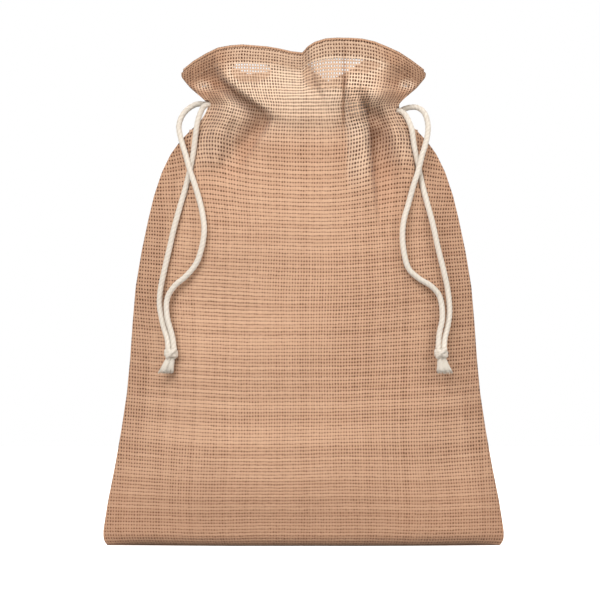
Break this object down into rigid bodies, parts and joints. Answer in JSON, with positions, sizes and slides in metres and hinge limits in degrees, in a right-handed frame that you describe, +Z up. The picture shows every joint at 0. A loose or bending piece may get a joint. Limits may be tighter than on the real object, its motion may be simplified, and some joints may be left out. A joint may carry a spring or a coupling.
{
  "type": "drawstring gift pouch",
  "caption": "Gathered hessian pouch with a ruffled open top, a sewn channel, and knotted cotton drawstrings that hang down at both sides of the front.",
  "frame": {"origin": "centre of the base on the floor", "axes": "+Z up from the base to the ruffled mouth, -Y out of the front face that the cord ends hang on, +X to the right seen from the front"},
  "size_m": [0.249, 0.0682, 0.315],
  "materials": {
    "jute_cloth": "open plain weave, matt",
    "jute_hem": "doubled plain weave, matt",
    "jute_inside": "plain weave, matt, inside the pouch",
    "sewing_thread": "spun polyester sewing thread",
    "cotton_cord": "soft twisted cotton"
  },
  "bodies": {
    "pouch": {"front_panel": "jute_cloth", "back_panel": "jute_cloth", "front_top_hem": "jute_hem", "back_top_hem": "jute_hem", "front_channel_strip": "jute_inside", "back_channel_strip": "jute_inside", "left_seam_allowance": "jute_inside", "right_seam_allowance": "jute_inside", "left_side_stitching": "sewing_thread", "right_side_stitching": "sewing_thread", "front_hem_stitching": "sewing_thread", "back_hem_stitching": "sewing_thread", "front_channel_stitching": "sewing_thread", "back_channel_stitching": "sewing_thread", "left_cord_loop": "cotton_cord", "right_cord_loop": "cotton_cord"},
    "left_neck_edge": {"left_opening_tacks": "sewing_thread"},
    "left_drawstring": {"left_channel_cord": "cotton_cord"},
    "left_tail": {"left_front_strand": "cotton_cord", "left_back_strand": "cotton_cord", "left_knot": "cotton_cord", "left_cut_ends": "cotton_cord"},
    "right_neck_edge": {"right_opening_tacks": "sewing_thread"},
    "right_drawstring": {"right_channel_cord": "cotton_cord"},
    "right_tail": {"right_front_strand": "cotton_cord", "right_back_strand": "cotton_cord", "right_knot": "cotton_cord", "right_cut_ends": "cotton_cord"}
  },
  "joints": [
    {"name": "left_neck_gather", "type": "slide", "parent": "pouch", "child": "left_neck_edge", "axis": [1, 0, 0], "range_m": [0, 0.012]},
    {"name": "left_drawstring_pull", "type": "slide", "parent": "left_neck_edge", "child": "left_drawstring", "axis": [-1, 0, 0], "range_m": [0, 0.024]},
    {"name": "left_tail_swing", "type": "hinge", "parent": "left_drawstring", "child": "left_tail", "pos_m": [-0.058, 0, 0.274], "axis": [0, 1, 0], "range_deg": [0, 35]},
    {"name": "right_neck_gather", "type": "slide", "parent": "pouch", "child": "right_neck_edge", "axis": [-1, 0, 0], "range_m": [0, 0.012]},
    {"name": "right_drawstring_pull", "type": "slide", "parent": "right_neck_edge", "child": "right_drawstring", "axis": [1, 0, 0], "range_m": [0, 0.024]},
    {"name": "right_tail_swing", "type": "hinge", "parent": "right_drawstring", "child": "right_tail", "pos_m": [0.058, 0, 0.27], "axis": [0, -1, 0], "range_deg": [0, 35]}
  ],
  "couplings": [
    {"joint": "left_neck_gather", "follows": "left_drawstring_pull", "ratio": 0.5},
    {"joint": "right_neck_gather", "follows": "left_drawstring_pull", "ratio": 0.5},
    {"joint": "right_drawstring_pull", "follows": "left_drawstring_pull", "ratio": 1}
  ]
}
